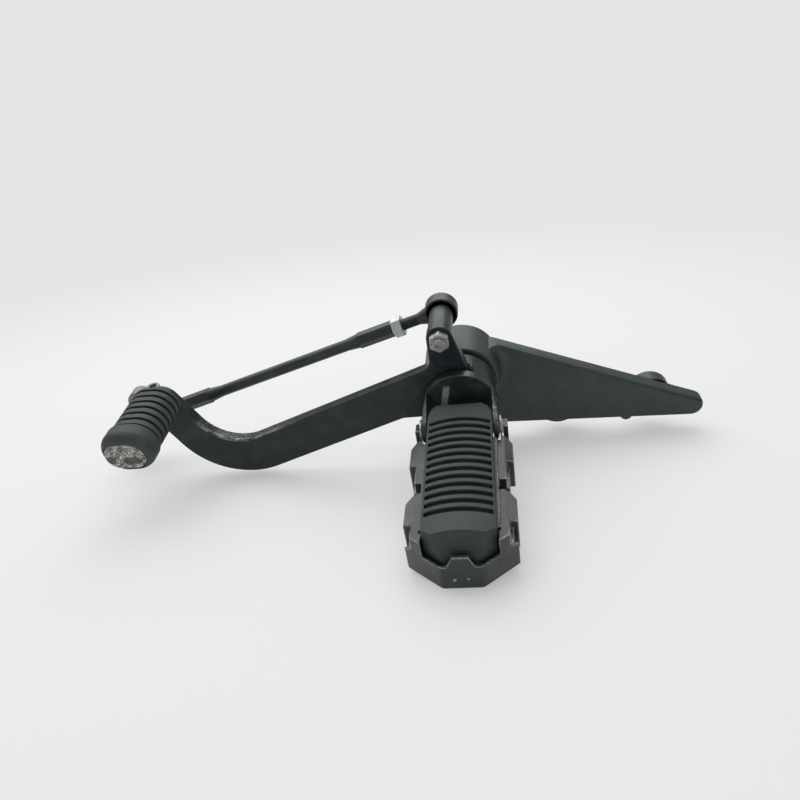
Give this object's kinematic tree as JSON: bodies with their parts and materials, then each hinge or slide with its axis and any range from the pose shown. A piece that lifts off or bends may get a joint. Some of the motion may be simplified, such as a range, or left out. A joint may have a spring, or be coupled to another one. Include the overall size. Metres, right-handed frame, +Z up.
{
  "type": "motorcycle footrest hanger",
  "caption": "Left footrest hanger with a folding rubber-topped footrest, a bent gear lever with a ribbed toe rubber, and a shift linkage with ball joints.",
  "frame": {"origin": "mouth of the front frame bolt's threaded hole, at the back of the hanger", "axes": "+Y out of the bolt hole towards the motorcycle's frame, -Y along the footrest to the rider's foot, +X to the rear of the motorcycle, +Z up"},
  "size_m": [0.3679, 0.1675, 0.1034],
  "materials": {
    "hanger_black": "satin black paint over a casting",
    "clevis_black": "semi-gloss black",
    "zinc": "zinc plated",
    "seal_rubber": "matt black",
    "pin_steel": "dull steel",
    "spring_steel": "bright spring wire",
    "lever_black": "gloss black, worn at the bend",
    "bronze": "plain bearing bronze",
    "worn_steel": "worn bare steel",
    "toe_rubber": "matt, dusty",
    "black_steel": "black satin",
    "liner": "dark bearing plastic",
    "arm_grey": "dull cast grey",
    "frame_black": "semi-gloss black paint, chipped",
    "pad_rubber": "matt grey-black"
  },
  "bodies": {
    "hanger": {"hanger_bracket": "hanger_black", "footrest_clevis": "clevis_black", "clevis_bolt": "zinc", "clevis_washer": "zinc", "front_hub_seal": "seal_rubber", "rear_hub_seal": "seal_rubber", "fold_pin": "pin_steel", "fold_pin_clip": "pin_steel"},
    "footrest": {"footrest_frame": "frame_black", "footrest_rubber": "pad_rubber", "pad_screws": "zinc", "return_spring": "spring_steel"},
    "lever": {"gear_lever": "lever_black", "front_lever_bush": "bronze", "rear_lever_bush": "bronze", "toe_peg": "worn_steel", "toe_rubber": "toe_rubber", "link_spacer": "black_steel", "rear_ball_stud": "zinc", "rear_stud_nut": "zinc"},
    "link": {"link_rod": "black_steel", "rear_rod_end": "black_steel", "rear_eye_liner": "liner", "rear_lock_nut": "zinc", "front_rod_end": "black_steel", "front_eye_liner": "liner", "front_lock_nut": "zinc"},
    "shifter": {"shift_arm": "arm_grey", "pinch_bolt": "zinc", "front_ball_stud": "zinc", "front_stud_nut": "zinc"}
  },
  "joints": [
    {"name": "footrest_fold", "type": "hinge", "parent": "hanger", "child": "footrest", "pos_m": [-0.057, -0.077, 0.034], "axis": [-1, 0, 0], "range_deg": [0, 75]},
    {"name": "gear_lever_pivot", "type": "hinge", "parent": "hanger", "child": "lever", "pos_m": [-0.057, -0.056, 0.038], "axis": [0, 1, 0], "range_deg": [-12, 12]},
    {"name": "rear_link_joint", "type": "hinge", "parent": "lever", "child": "link", "pos_m": [-0.0645, -0.024, 0.0785], "axis": [0, 1, 0], "range_deg": [-12, 12]},
    {"name": "front_link_joint", "type": "hinge", "parent": "link", "child": "shifter", "pos_m": [-0.27182, -0.024, 0.01788], "axis": [0, 1, 0], "range_deg": [-30, 30]}
  ]
}
